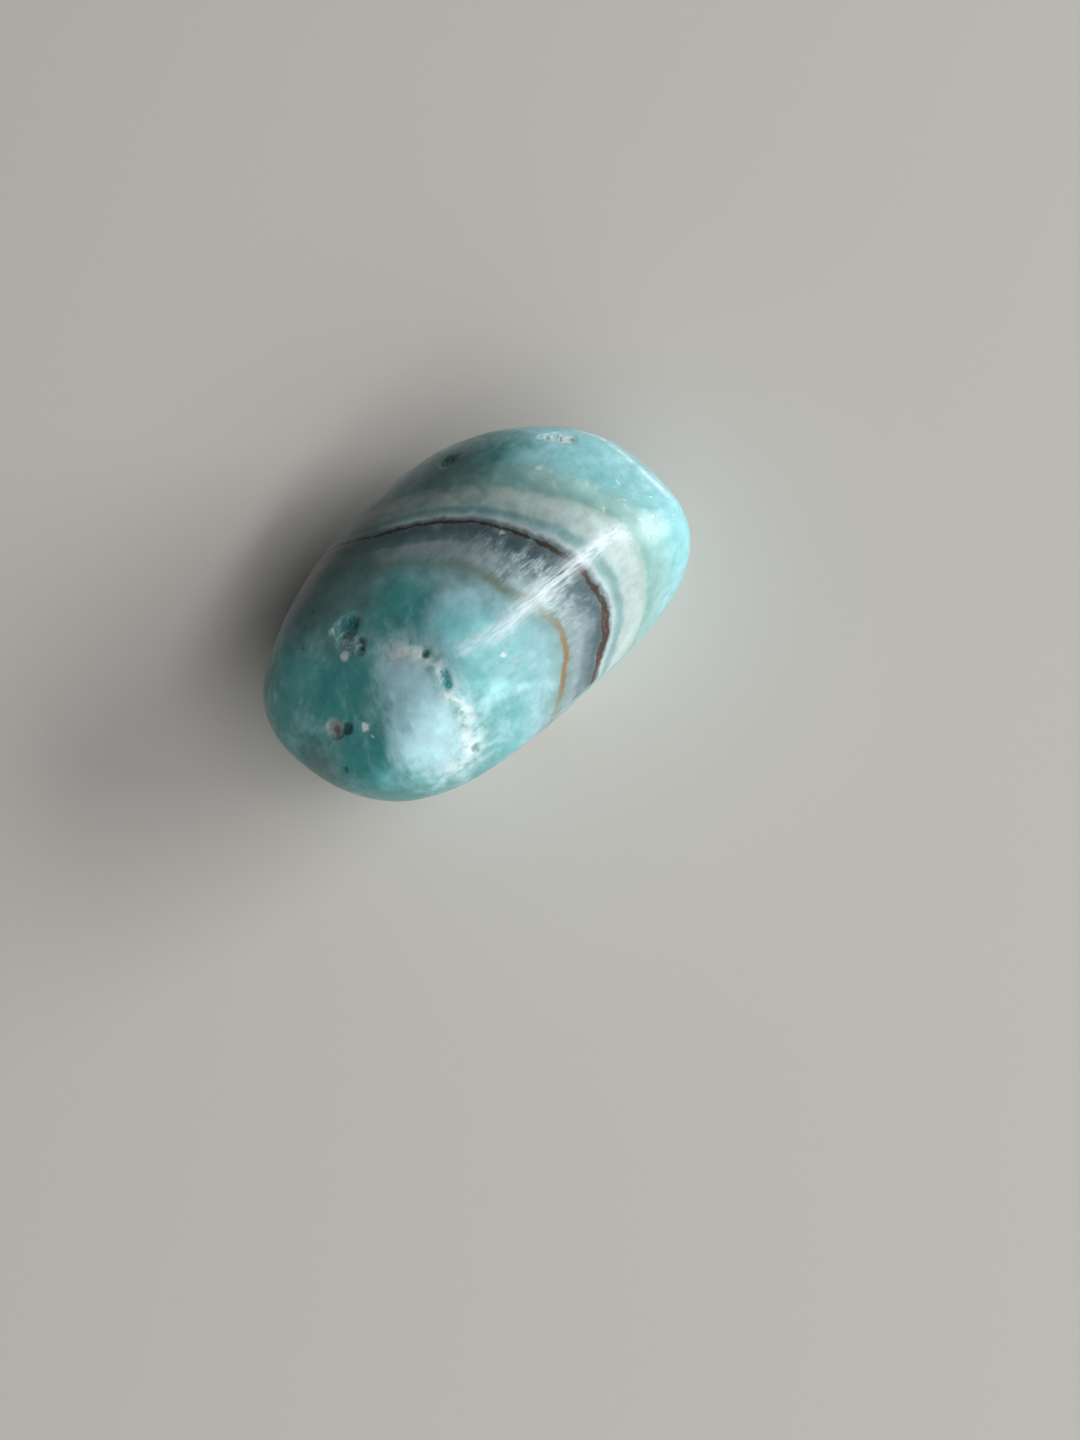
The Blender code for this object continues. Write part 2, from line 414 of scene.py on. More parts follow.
# Dirt, bruises, painted shade and painted glints in and around the hollows, and single dots (mm): centre,
# radius, strength, colour.
DIRT_SHADE_AND_GLINTS = {
    # The comma pit's floor and head are painted shade in the hollow, and its glint a painted highlight on the
    # lit wall.
    "comma floor": ((-7.5, 1.5, 14.7), 0.60, 1.0, (0.055, 0.25, 0.265)),
    "comma head": ((-7.0, 1.4, 14.9), 0.32, 0.9, (0.04, 0.19, 0.19)),
    "comma glint": ((-8.9, 2.1, 14.5), 0.20, 1.1, (0.42, 0.56, 0.58)),
    # The crescent pit's walls are painted shade, and its glint a painted highlight on the lit wall.
    "crescent floor": ((-8.3, 0.3, 14.8), 0.80, 0.7, (0.20, 0.30, 0.32)),
    "crescent wall": ((-7.35, -0.15, 15.0), 0.19, 1.2, (0.13, 0.115, 0.12)),
    "crescent wall end": ((-7.75, -0.65, 14.9), 0.17, 1.1, (0.12, 0.10, 0.10)),
    "crescent glint": ((-9.1, -0.2, 14.6), 0.27, 1.1, (0.52, 0.66, 0.72)),
    # The round pit's shade is painted shade on its shadowed wall.
    "round ring": ((-13.1, -3.7, 13.0), 0.62, 1.0, (0.34, 0.38, 0.38)),
    "round shade": ((-12.3, -4.4, 13.3), 0.36, 1.2, (0.03, 0.15, 0.14)),
    "round centre": ((-13.1, -3.7, 12.8), 0.26, 1.2, (0.22, 0.17, 0.18)),
    "end chip": ((13.9, 3.2, 14.0), 0.62, 1.0, (0.66, 0.78, 0.82)),
    "end chip tail": ((12.9, 3.9, 14.5), 0.42, 0.8, (0.58, 0.72, 0.76)),
    "end chip shade": ((14.3, 2.8, 13.9), 0.25, 1.0, (0.20, 0.38, 0.42)),
    "notch floor": ((5.8, 7.7, 13.8), 0.38, 0.6, (0.04, 0.13, 0.13)),
    "notch rim": ((6.5, 7.3, 14.2), 0.22, 0.9, (0.35, 0.48, 0.50)),
    "vein hole": ((-4.0, -4.4, 16.1), 0.20, 1.1, (0.08, 0.20, 0.20)),
    "vein notch": ((-4.1, -7.1, 15.7), 0.34, 0.9, (0.05, 0.34, 0.36)),
    "vein notch middle": ((-3.95, -6.75, 15.8), 0.30, 0.9, (0.05, 0.34, 0.36)),
    "vein notch head": ((-3.8, -6.4, 15.9), 0.30, 0.8, (0.06, 0.36, 0.38)),
    "ring shade": ((-5.6, -11.0, 11.1), 0.24, 0.9, (0.24, 0.38, 0.40)),
    "tail dot": ((-14.5, -6.3, 11.9), 0.24, 0.8, (0.05, 0.15, 0.15)),
    "left dot": ((-9.3, 4.7, 13.8), 0.18, 0.7, (0.06, 0.12, 0.115)),
    "left dot below": ((-10.5, 4.0, 13.7), 0.15, 0.7, (0.06, 0.12, 0.115)),
    "left dot lowest": ((-11.5, 2.9, 13.6), 0.15, 0.7, (0.06, 0.12, 0.115)),
    # The white dot is a painted glint.
    "white dot": ((-11.0, -5.3, 13.9), 0.21, 1.3, (0.84, 0.94, 0.96)),
    "white dot below": ((-10.9, -6.2, 13.8), 0.12, 0.9, (0.60, 0.76, 0.78)),
    "grey dot": ((5.7, -0.9, 16.8), 0.16, 1.1, (0.50, 0.60, 0.62)),
    "near dot": ((0.4, -7.8, 15.3), 0.17, 1.2, (0.74, 0.86, 0.88)),
    "rosy smear": ((0.9, -8.5, 14.4), 0.32, 0.5, (0.50, 0.60, 0.60)),
    "far dot": ((10.8, 1.7, 16.1), 0.18, 1.1, (0.56, 0.70, 0.66)),
}
TINT_CROOK = (0.5, 0.55)
TINT_STEP = (0.10, 0.90)


def keep_out_all():
    """Deselects every object, because the frame leaves the CAD nodes selected."""
    if bpy.context.object and bpy.context.object.mode != "OBJECT":
        bpy.ops.object.mode_set(mode="OBJECT")
    bpy.ops.object.select_all(action="DESELECT")


def make_active(piece):
    """Makes one object the only selected one."""
    keep_out_all()
    piece.select_set(True)
    bpy.context.view_layer.objects.active = piece


def apply_modifiers(piece):
    """Applies the piece's modifiers in their order."""
    make_active(piece)
    for name in [modifier.name for modifier in piece.modifiers]:
        bpy.ops.object.modifier_apply(modifier=name)


def add_subdivision(piece, name, levels):
    """Adds a subdivision surface."""
    modifier = piece.modifiers.new(name, "SUBSURF")
    modifier.levels = levels
    modifier.render_levels = levels


def add_lumps(piece, name, size, height):
    """Adds uneven lumps of that size and height (mm)."""
    texture = bpy.data.textures.new(name, "CLOUDS")
    texture.noise_scale = size * MM
    texture.noise_depth = LUMP_DETAIL
    displace = piece.modifiers.new(name, "DISPLACE")
    displace.texture = texture
    displace.texture_coords = "LOCAL"
    displace.strength = height * MM
    displace.mid_level = 0.5


def smooth_cad_copy(node):
    """A merged, rounded copy of the CAD stone, for the skin to be shrunk onto."""
    copy = node.copy()
    copy.data = node.data.copy()
    copy.name = "rounded_copy"
    bpy.context.collection.objects.link(copy)
    make_active(copy)
    bpy.ops.object.mode_set(mode="EDIT")
    bpy.ops.mesh.select_all(action="SELECT")
    bpy.ops.mesh.remove_doubles(threshold=MERGE_DISTANCE * MM)
    bpy.ops.object.mode_set(mode="OBJECT")
    add_subdivision(copy, "rounding", ROUNDING_LEVELS)
    apply_modifiers(copy)
    return copy


def make_body(node):
    """The stone's body: a cube made a quad sphere, shrunk onto the CAD stone and smoothed."""
    target = smooth_cad_copy(node)
    keep_out_all()
    bpy.ops.mesh.primitive_cube_add(size=BODY_START * MM, location=Vector(BODY_CENTRE) * MM)
    body = bpy.context.object
    body.name = "tumbled_stone"
    bpy.ops.object.mode_set(mode="EDIT")
    bpy.ops.mesh.select_all(action="SELECT")
    bpy.ops.mesh.subdivide(number_cuts=BODY_CUTS)
    bpy.ops.transform.tosphere(value=1.0)
    bpy.ops.transform.resize(value=BODY_STRETCH, center_override=Vector(BODY_CENTRE) * MM)
    bpy.ops.object.mode_set(mode="OBJECT")
    bpy.ops.object.transform_apply(location=True, rotation=True, scale=True)
    shrink = body.modifiers.new("shrink", "SHRINKWRAP")
    shrink.target = target
    shrink.wrap_method = "NEAREST_SURFACEPOINT"
    smooth = body.modifiers.new("smooth", "SMOOTH")
    smooth.factor = SMOOTH_FACTOR
    smooth.iterations = SMOOTH_ROUNDS
    add_subdivision(body, "fine", FINE_LEVELS)
    for name, (size, height) in LUMPS.items():
        add_lumps(body, name, size, height)
    apply_modifiers(body)
    bpy.data.objects.remove(target)
    return body


def select_vertices(body, wanted):
    """Selects the vertices that are wanted, and nothing else, and opens edit mode."""
    make_active(body)
    bpy.ops.object.mode_set(mode="EDIT")
    bpy.ops.mesh.select_mode(type="VERT")
    bpy.ops.mesh.select_all(action="DESELECT")
    bpy.ops.object.mode_set(mode="OBJECT")
    for vertex in body.data.vertices:
        vertex.select = wanted(vertex)
    bpy.ops.object.mode_set(mode="EDIT")


def press(body, place, inward, radius):
    """Presses the skin in at one place."""
    nearest = min(body.data.vertices, key=lambda vertex: (vertex.co - place).length_squared).index
    select_vertices(body, lambda vertex: vertex.index == nearest)
    bpy.ops.transform.translate(
        value=inward,
        use_proportional_edit=True,
        proportional_edit_falloff="SPHERE",
        proportional_size=radius,
    )
    bpy.ops.object.mode_set(mode="OBJECT")


def near_presses(steps, share, margin):
    """A test for vertices within that share of a press's radius, and the margin, of any press."""
    return lambda vertex: any((vertex.co - at).length < share * radius + margin for at, radius, _ in steps)


def make_hollow(body, outward, presses, seed):
    """Makes one hollow: finer mesh, presses, a worn rim, and a gritty floor of broken crystal."""
    outward = Vector(outward).normalized()
    steps = [(Vector(place) * MM, radius * MM, depth * MM) for place, radius, depth in presses]
    around = near_presses(steps, 1.0, HOLLOW_MARGIN * MM)
    select_vertices(body, around)
    bpy.ops.mesh.subdivide(number_cuts=HOLLOW_CUTS)
    bpy.ops.object.mode_set(mode="OBJECT")
    for at, radius, depth in steps:
        press(body, at, -outward * depth, radius)
    select_vertices(body, around)
    bpy.ops.mesh.vertices_smooth(factor=SMOOTH_FACTOR, repeat=HOLLOW_SMOOTH_ROUNDS)
    bpy.ops.object.mode_set(mode="OBJECT")
    select_vertices(body, near_presses(steps, HOLLOW_FLOOR, 0.0))
    bpy.ops.transform.vertex_random(offset=HOLLOW_GRIT * MM, normal=1.0, seed=seed)
    body.active_material_index = BROKEN_SLOT
    bpy.ops.object.material_slot_assign()
    bpy.ops.object.mode_set(mode="OBJECT")


def rest_on_floor(body):
    """Flattens what lies at the resting spot to the floor."""
    select_vertices(body, lambda vertex: vertex.co.z < FLOOR_SNAP * MM)
    bpy.ops.transform.resize(value=(1.0, 1.0, 0.0), center_override=(0.0, 0.0, 0.0))
    bpy.ops.object.mode_set(mode="OBJECT")


def make_stone(node):
    """The whole stone with its hollows."""
    body = make_body(node)
    groups = make_groups()
    body.data.materials.append(make_aragonite_material(groups))
    body.data.materials.append(make_broken_material(groups))
    for seed, (outward, presses) in enumerate(HOLLOWS.values()):
        make_hollow(body, outward, presses, seed)
    rest_on_floor(body)
    make_active(body)
    bpy.ops.object.shade_smooth_by_angle(angle=math.radians(SHADE_ANGLE))
    return body


def fill(tree, node, inputs):
    """Sets each input of a node to a value, or links it to a socket."""
    for name, value in inputs.items():
        if isinstance(value, bpy.types.NodeSocket):
            tree.links.new(value, node.inputs[name])
        else:
            node.inputs[name].default_value = value


def add_node(tree, kind, inputs=None, **settings):
    """Adds a node with these settings; an input is a value, or a socket to link."""
    node = tree.nodes.new(kind)
    node.location = (200 * (len(tree.nodes) % 12), -200 * (len(tree.nodes) // 12))
    for name, value in settings.items():
        setattr(node, name, value)
    fill(tree, node, inputs or {})
    return node


def calculate(tree, operation, first, second=0.0, third=0.0):
    """One Math node; returns its result."""
    inputs = {0: first, 1: second, 2: third}
    return add_node(tree, "ShaderNodeMath", inputs, operation=operation).outputs[0]


def calculate_vector(tree, operation, first, second=(0.0, 0.0, 0.0), result="Vector"):
    """One Vector Math node; returns its result."""
    inputs = {0: first, 1: second}
    return add_node(tree, "ShaderNodeVectorMath", inputs, operation=operation).outputs[result]


def scale_vector(tree, vector, factor):
    """A vector times a factor."""
    inputs = {0: vector, "Scale": factor}
    return add_node(tree, "ShaderNodeVectorMath", inputs, operation="SCALE").outputs["Vector"]


def ease(tree, value, start, end):
    """0 before start and 1 after end, with a smooth change between."""
    inputs = {"Value": value, "From Min": start, "From Max": end, "To Min": 0.0, "To Max": 1.0}
    node = add_node(tree, "ShaderNodeMapRange", inputs, interpolation_type="SMOOTHSTEP")
    return node.outputs["Result"]


def opaque(colour):
    """A colour with full alpha; a socket is left as it is."""
    return (*colour, 1.0) if isinstance(colour, tuple) else colour


def blend(tree, factor, first, second, mode="MIX"):
    """Two colours mixed; 0, 6 and 7 are the Mix node's factor and its two colours."""
    inputs = {0: factor, 6: opaque(first), 7: opaque(second)}
    return add_node(tree, "ShaderNodeMix", inputs, data_type="RGBA", blend_type=mode).outputs[2]


def multiply(tree, first, *others):
    """The product of several masks."""
    for other in others:
        first = calculate(tree, "MULTIPLY", first, other)
    return first


def cover(tree, mask, start, full, most):
    """How much a mask covers: nothing at start, and most from full on."""
    return multiply(tree, ease(tree, mask, start, full), most)


def weigh(tree, first, second, shares):
    """The sum of two masks, each times its share."""
    return calculate(tree, "MULTIPLY_ADD", first, shares[0], multiply(tree, second, shares[1]))


def grain(tree, point, size, detail, roughness, distortion):
    """Noise with lumps of that size (mm), 0 to 1."""
    inputs = {
        "Vector": point,
        "Scale": 1.0 / size,
        "Detail": detail,
        "Roughness": roughness,
        "Distortion": distortion,
    }
    return add_node(tree, "ShaderNodeTexNoise", inputs).outputs[0]


def swing(tree, noise):
    """Noise that swings about zero."""
    return calculate(tree, "SUBTRACT", noise, 0.5)


def bell(tree, share):
    """A bell curve, 1 at zero and fading out beyond one."""
    squared = multiply(tree, share, share)
    return calculate(tree, "EXPONENT", multiply(tree, squared, -0.5))


def new_group(name, inputs, outputs):
    """An empty shader node group with named sockets, and its input and output nodes."""
    tree = bpy.data.node_groups.new(name, "ShaderNodeTree")
    for label, kind in inputs:
        tree.interface.new_socket(label, in_out="INPUT", socket_type=kind)
    for label, kind in outputs:
        tree.interface.new_socket(label, in_out="OUTPUT", socket_type=kind)
    return tree, tree.nodes.new("NodeGroupInput"), tree.nodes.new("NodeGroupOutput")


def place_group(tree, group, inputs):
    """Places a group in a tree with its inputs set or linked."""
    return add_node(tree, "ShaderNodeGroup", inputs, node_tree=group)


def make_spot_group():
    """A soft round spot: 1 at its centre, fading out beyond its radius."""
    tree, source, result = new_group(
        "soft_spot",
        (("Point", "NodeSocketVector"), ("Centre", "NodeSocketVector"), ("Radius", "NodeSocketFloat")),
        (("Mask", "NodeSocketFloat"),),
    )
    away = calculate_vector(tree, "DISTANCE", source.outputs["Point"], source.outputs["Centre"], "Value")
    share = calculate(tree, "DIVIDE", away, source.outputs["Radius"])
    tree.links.new(bell(tree, share), result.inputs["Mask"])
    return tree


def make_stroke_group():
    """A soft stroke from one point to another: 1 along its middle, fading out beyond its half width."""
    tree, source, result = new_group(
        "soft_stroke",
        (
            ("Point", "NodeSocketVector"),
            ("Start", "NodeSocketVector"),
            ("End", "NodeSocketVector"),
            ("Half Width", "NodeSocketFloat"),
        ),
        (("Mask", "NodeSocketFloat"),),
    )
    start = source.outputs["Start"]
    along = calculate_vector(tree, "SUBTRACT", source.outputs["End"], start)
    from_start = calculate_vector(tree, "SUBTRACT", source.outputs["Point"], start)
    reach = calculate_vector(tree, "DOT_PRODUCT", from_start, along, "Value")
    length = calculate_vector(tree, "DOT_PRODUCT", along, along, "Value")
    inputs = {0: reach, 1: length}
    part = add_node(tree, "ShaderNodeMath", inputs, operation="DIVIDE", use_clamp=True).outputs[0]
    away = calculate_vector(tree, "DISTANCE", from_start, scale_vector(tree, along, part), "Value")
    share = calculate(tree, "DIVIDE", away, source.outputs["Half Width"])
    tree.links.new(bell(tree, share), result.inputs["Mask"])
    return tree


def spot(tree, groups, point, centre, radius):
    """The mask of one soft spot."""
    inputs = {"Point": point, "Centre": centre, "Radius": radius}
    return place_group(tree, groups["spot"], inputs).outputs["Mask"]


def stroke(tree, groups, point, start, end, half_width):
    """The mask of one soft stroke."""
    inputs = {"Point": point, "Start": start, "End": end, "Half Width": half_width}
    return place_group(tree, groups["stroke"], inputs).outputs["Mask"]


def chain(tree, groups, point, places, half_width):
    """The mask of a soft line through several places."""
    line = 0.0
    for start, end in zip(places, places[1:]):
        line = calculate(tree, "MAXIMUM", line, stroke(tree, groups, point, start, end, half_width))
    return line


def patches(tree, groups, point, table):
    """The sum of soft patches, each with its own strength."""
    total = 0.0
    for centre, radius, strength in table.values():
        mask = spot(tree, groups, point, centre, radius)
        total = calculate(tree, "MULTIPLY_ADD", mask, strength, total)
    return total


def make_growth_group(groups):
    """How far along the stone's growth a point lies (mm), swells included."""
    tree, source, result = new_group(
        "growth_distance",
        (("Point", "NodeSocketVector"),),
        (("Distance", "NodeSocketFloat"),),
    )
    point = source.outputs["Point"]
    distance = calculate_vector(tree, "DOT_PRODUCT", point, GROWTH_AXIS, "Value")
    for centre, radius, height in SWELLS.values():
        mask = spot(tree, groups, point, centre, radius)
        distance = calculate(tree, "MULTIPLY_ADD", mask, height, distance)
    for size, height in (LAYER_WAVES, LAYER_FUZZ):
        wave = swing(tree, grain(tree, point, size, *LAYER_NOISE))
        distance = calculate(tree, "MULTIPLY_ADD", wave, 2.0 * height, distance)
    tree.links.new(distance, result.inputs["Distance"])
    return tree


def make_fibre_group():
    """Fine fibres that lie along an axis."""
    tree, source, result = new_group(
        "growth_fibres",
        (
            ("Point", "NodeSocketVector"),
            ("Axis", "NodeSocketVector"),
            ("Width", "NodeSocketFloat"),
            ("Straightness", "NodeSocketFloat"),
        ),
        (("Fibres", "NodeSocketFloat"),),
    )
    point = source.outputs["Point"]
    axis = calculate_vector(tree, "NORMALIZE", source.outputs["Axis"])
    along = calculate_vector(tree, "DOT_PRODUCT", point, axis, "Value")
    squeeze = calculate(tree, "MULTIPLY", along, source.outputs["Straightness"])
    squeezed = calculate_vector(tree, "SUBTRACT", point, scale_vector(tree, axis, squeeze))
    fine = calculate(tree, "DIVIDE", 1.0, source.outputs["Width"])
    inputs = {"Vector": squeezed, "Scale": fine, **FIBRE_NOISE}
    noise = add_node(tree, "ShaderNodeTexNoise", inputs).outputs[0]
    tree.links.new(noise, result.inputs["Fibres"])
    return tree


def fibres(tree, groups, point, width, straightness, axis):
    """Fibres of that width (mm), 0 to 1."""
    inputs = {"Point": point, "Axis": axis, "Width": width, "Straightness": straightness}
    return place_group(tree, groups["fibres"], inputs).outputs["Fibres"]


def make_layers_group():
    """The colour of the layers at each growth distance."""
    tree, source, result = new_group(
        "aragonite_layers",
        (("Distance", "NodeSocketFloat"),),
        (("Color", "NodeSocketColor"),),
    )
    scale = {"From Min": LAYERS_FROM, "From Max": LAYERS_TO, "To Min": 0.0, "To Max": 1.0}
    inputs = {"Value": source.outputs["Distance"], **scale}
    place = add_node(tree, "ShaderNodeMapRange", inputs).outputs["Result"]
    ramp = add_node(tree, "ShaderNodeValToRGB", {"Fac": place})
    stops = ramp.color_ramp.elements
    while len(stops) < len(LAYERS):
        stops.new(1.0)
    for stop, (at, colour) in zip(stops, LAYERS):
        stop.position = (at - LAYERS_FROM) / (LAYERS_TO - LAYERS_FROM)
        stop.color = opaque(colour)
    tree.links.new(ramp.outputs["Color"], result.inputs["Color"])
    return tree


def line_mask(tree, distance, at, half_width, softness):
    """1 on a line at that growth distance, 0 beside it."""
    off = calculate(tree, "ABSOLUTE", calculate(tree, "SUBTRACT", distance, at))
    edge = calculate(tree, "SUBTRACT", off, half_width)
    return ease(tree, edge, softness, -softness)


def band_mask(tree, distance, low, high, softness):
    """1 between two growth distances, fading out over the softness."""
    rise = ease(tree, distance, low - softness, low + softness)
    fall = ease(tree, distance, high + softness, high - softness)
    return multiply(tree, rise, fall)


def add_milk(tree, groups, point, distance, colour):
    """Milky veils and streaks in the clear aqua."""
    before = ease(tree, distance, *AQUA_BEFORE)
    after = ease(tree, distance, *AQUA_AFTER)
    aqua = calculate(tree, "MAXIMUM", before, after)
    veils = grain(tree, point, *MILK_GRAIN)
    streaks = fibres(tree, groups, point, *MILK_STREAKS)
    both = weigh(tree, streaks, veils, MILK_MIX)
    milk = multiply(tree, cover(tree, both, *MILK_COVER), aqua)
    colour = blend(tree, milk, colour, CLOUD_COLOUR)
    clear = multiply(tree, cover(tree, both, *CLEAR_COVER), aqua)
    return blend(tree, clear, colour, CLEAR_COLOUR)


def add_tufts(tree, groups, point, distance, needles, colour):
    """White needle tufts in the grey layer, thicker towards its tan side."""
    tufts = fibres(tree, groups, point, *TUFT_NEEDLES)
    both = weigh(tree, needles, tufts, TUFT_MIX)
    past = calculate(tree, "SUBTRACT", distance, GREY_MIDDLE)
    thinned = calculate(tree, "MULTIPLY_ADD", past, TUFT_THINNING, both)
    grey = band_mask(tree, distance, *GREY_LAYER)
    where = calculate(tree, "ADD", spot(tree, groups, point, *TUFTS), TUFTS_ELSEWHERE)
    white = multiply(tree, ease(tree, thinned, *TUFT_STEP), grey, where)
    return blend(tree, white, colour, NEEDLE_COLOUR)


def add_arcs(tree, groups, point, distance, colour):
    """Thin pale arcs on the grey layer's far side."""
    side = spot(tree, groups, point, *ARC_SIDE)
    for at, half_width, strength in ARCS:
        line = line_mask(tree, distance, at, half_width, ARC_SOFTNESS)
        colour = blend(tree, multiply(tree, line, side, strength), colour, ARC_COLOUR)
    return colour


def add_needles(tree, groups, point, distance, colour):
    """White needle tufts and pale arcs in the grey layer, and darker needles in the cream one."""
    needles = fibres(tree, groups, point, *FINE_NEEDLES)
    colour = add_tufts(tree, groups, point, distance, needles, colour)
    colour = add_arcs(tree, groups, point, distance, colour)
    cream = band_mask(tree, distance, *CREAM_LAYER)
    dark = multiply(tree, cover(tree, needles, *CREAM_COVER), cream)
    return blend(tree, dark, colour, CREAM_SHADE)


def add_kind_of_patch(tree, groups, point, colour, table, look, edge):
    """Lays one kind of soft patch over the colour, with an uneven edge."""
    ragged, steps, tint = look
    mask = calculate(tree, "MULTIPLY_ADD", edge, ragged, patches(tree, groups, point, table))
    return blend(tree, cover(tree, mask, *steps), colour, tint)


def add_patches(tree, groups, point, colour):
    """Deep clear patches, bright ones, pale streaked clouds, and painted shade on the far flank and the tail.
    """
    curl = swing(tree, grain(tree, point, *CURL_GRAIN))
    streaks = swing(tree, fibres(tree, groups, point, *CLOUD_STREAKS))
    streaked = calculate(tree, "MULTIPLY_ADD", streaks, CLOUD_STREAKING, curl)
    kinds = (
        (DEEP_PATCHES, DEEP_LOOK, curl),
        (BRIGHT_PATCHES, BRIGHT_LOOK, curl),
        (PALE_CLOUDS, CLOUD_LOOK, streaked),
        # The last kind is painted shade on the far flank and the tail.
        (PAINTED_SHADE_PATCHES, PAINTED_SHADE_LOOK, curl),
    )
    for table, look, edge in kinds:
        colour = add_kind_of_patch(tree, groups, point, colour, table, look, edge)
    return colour


def add_brown_line(tree, groups, point, distance, beads, colour):
    """The beaded brown line, wider and rusty on the near side."""
    at, half_width, softness, brown = BROWN_LINE
    centre, radius, wider = BROWN_NEAR
    near = multiply(tree, spot(tree, groups, point, centre, radius), wider)
    beaded = calculate(tree, "MULTIPLY_ADD", beads, BROWN_BEADING, half_width)
    line = line_mask(tree, distance, at, calculate(tree, "ADD", beaded, near), softness)
    rust = multiply(tree, ease(tree, beads, *BEAD_STEP), near, BEAD_STRENGTH)
    brown = blend(tree, rust, brown, BEAD_COLOUR)
    return blend(tree, multiply(tree, line, BROWN_STRENGTH), colour, brown)


def add_tan_line(tree, groups, point, distance, beads, colour):
    """The tan line on the near side, which fades to an olive haze on the top."""
    at, half_width, softness, tan = TAN_LINE
    haze = line_mask(tree, distance, at, *OLIVE_LINE)
    olive = multiply(tree, spot(tree, groups, point, *OLIVE_TOP), haze, OLIVE_STRENGTH)
    colour = blend(tree, olive, colour, OLIVE_COLOUR)
    beaded = calculate(tree, "MULTIPLY_ADD", beads, TAN_BEADING, half_width)
    line = line_mask(tree, distance, at, beaded, softness)
    near = multiply(tree, spot(tree, groups, point, *TAN_NEAR), TAN_STRENGTH)
    return blend(tree, multiply(tree, line, near), colour, tan)


def add_rusty_lines(tree, groups, point, distance, colour):
    """The beaded brown line and the tan line."""
    beads = swing(tree, grain(tree, point, *BEAD_GRAIN))
    colour = add_brown_line(tree, groups, point, distance, beads, colour)
    return add_tan_line(tree, groups, point, distance, beads, colour)


def add_foot_skin(tree, groups, point, colour):
    """Pale teal skin that covers the layers below the near foot's edge."""
    skin = stroke(tree, groups, point, *FOOT_SKIN)
    uneven = swing(tree, grain(tree, point, *SKIN_GRAIN))
    ragged = calculate(tree, "MULTIPLY_ADD", uneven, FOOT_RAGGED, skin)
    return blend(tree, cover(tree, ragged, *FOOT_COVER), colour, FOOT_COLOUR)


def crook(tree, point, size, reach):
    """The point shifted unevenly, so that what is drawn there has crooked edges."""
    inputs = {"Vector": point, "Scale": 1.0 / size, "Detail": 2.0}
    warp = add_node(tree, "ShaderNodeTexNoise", inputs).outputs["Color"]
    bent = calculate_vector(tree, "SUBTRACT", warp, (0.5, 0.5, 0.5))
    return calculate_vector(tree, "ADD", point, scale_vector(tree, bent, reach))


def vein_masks(tree, groups, point):
    """The masks of the crooked vein and of the haze around it."""
    crooked = crook(tree, point, *VEIN_CROOK)
    vein = 0.0
    haze = 0.0
    for (start, half_width), (end, _) in zip(VEIN, VEIN[1:]):
        narrow = stroke(tree, groups, crooked, start, end, half_width)
        wide = stroke(tree, groups, crooked, start, end, HAZE_WIDTH * half_width)
        vein = calculate(tree, "MAXIMUM", vein, narrow)
        haze = calculate(tree, "MAXIMUM", haze, wide)
    return vein, haze


def add_vein(tree, groups, point, colour):
    """A thin veil, then haze, dirt and sugary crystals; returns the colour and the crystals' mask."""
    veil = chain(tree, groups, point, NEAR_VEIL, NEAR_VEIL_HALF_WIDTH)
    colour = blend(tree, multiply(tree, veil, NEAR_VEIL_STRENGTH), colour, CLOUD_COLOUR)
    vein, haze = vein_masks(tree, groups, point)
    puffs = grain(tree, point, *PUFF_GRAIN)
    sugar = grain(tree, point, *SUGAR_GRAIN)
    soft = multiply(tree, cover(tree, puffs, *HAZE_COVER), haze)
    colour = blend(tree, soft, colour, HAZE_COLOUR)
    dirt = multiply(tree, cover(tree, puffs, *RUST_COVER), haze)
    colour = blend(tree, dirt, colour, RUST_COLOUR)
    lumpy = calculate(tree, "MULTIPLY_ADD", vein, VEIN_STRENGTH, weigh(tree, puffs, sugar, VEIN_MIX))
    crystals = ease(tree, lumpy, *SUGAR_STEP)
    return blend(tree, multiply(tree, crystals, SUGAR_STRENGTH), colour, SUGAR_COLOUR), crystals


def add_crest_wear_and_highlight(tree, groups, point, colour):
    """Bruised white needles and a painted highlight on the ridge and the blunt end's rim; returns the colour
    and the ridge's mask.
    """
    crest = chain(tree, groups, point, CREST, CREST_HALF_WIDTH)
    needles = fibres(tree, groups, point, *CREST_NEEDLES)
    white = multiply(tree, crest, ease(tree, needles, *CREST_STEP))
    rim = chain(tree, groups, point, RIM_WEAR_AND_HIGHLIGHT, RIM_HALF_WIDTH)
    patchy = multiply(tree, rim, ease(tree, grain(tree, point, *RIM_GRAIN), *RIM_STEP))
    worn = calculate(tree, "MAXIMUM", white, patchy)
    # The white on the crest and the rim is partly wear and partly a painted highlight.
    return blend(tree, multiply(tree, worn, CREST_WEAR_AND_HIGHLIGHT_STRENGTH), colour, CREST_WEAR_AND_HIGHLIGHT_COLOUR), crest


def add_specks(tree, groups, point, colour):
    """Mossy specks before the cream layer and white ones at the blunt end."""
    fine = grain(tree, point, *SPECK_GRAIN)
    soft = weigh(tree, grain(tree, point, *MOSS_GRAIN), fine, MOSS_MIX)
    moss = multiply(tree, cover(tree, soft, *MOSS_COVER), spot(tree, groups, point, *MOSS_SPECKS))
    colour = blend(tree, moss, colour, MOSS_COLOUR)
    white = multiply(tree, ease(tree, fine, *WHITE_SPECK_STEP), spot(tree, groups, point, *WHITE_SPECKS))
    return blend(tree, white, colour, SUGAR_COLOUR)


